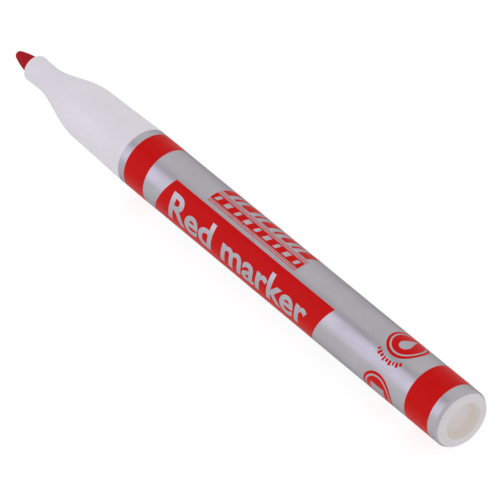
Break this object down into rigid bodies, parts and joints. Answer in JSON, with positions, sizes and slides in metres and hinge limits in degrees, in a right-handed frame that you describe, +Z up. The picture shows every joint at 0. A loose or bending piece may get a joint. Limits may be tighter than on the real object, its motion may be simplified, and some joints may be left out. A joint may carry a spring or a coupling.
{
  "type": "whiteboard marker",
  "caption": "Slim whiteboard marker without its cap: silver printed barrel with red bands, flared white front section, red bullet nib and a dished white end plug.",
  "frame": {"origin": "on the table plane, under the middle of the marker's length", "axes": "+X along the marker towards its rear end, the nib points to -X, +Z up"},
  "size_m": [0.1224, 0.0108, 0.0108],
  "materials": {
    "barrel_plastic": "white moulded polypropylene",
    "label_print": "silver film with red print",
    "section_plastic": "white moulded polypropylene, satin",
    "nib_fibre": "bonded polyester fibre wet with red ink",
    "reservoir_fibre": "polyester fibre bundle soaked with red ink",
    "reservoir_film": "thin clear polypropylene film",
    "plug_plastic": "natural white moulded polyethylene"
  },
  "bodies": {
    "barrel": {"barrel": "barrel_plastic", "label_film": "label_print", "reservoir_core": "reservoir_fibre", "reservoir_wrap": "reservoir_film"},
    "front_section": {"front_section": "section_plastic"},
    "nib": {"nib": "nib_fibre"},
    "end_plug": {"end_plug": "plug_plastic"}
  },
  "joints": [
    {"name": "section_pull", "type": "slide", "parent": "barrel", "child": "front_section", "axis": [-1, 0, 0], "range_m": [0, 0.026]},
    {"name": "nib_pull", "type": "slide", "parent": "front_section", "child": "nib", "axis": [-1, 0, 0], "range_m": [0, 0.027]},
    {"name": "plug_pull", "type": "slide", "parent": "barrel", "child": "end_plug", "axis": [1, 0, 0], "range_m": [0, 0.008]}
  ]
}
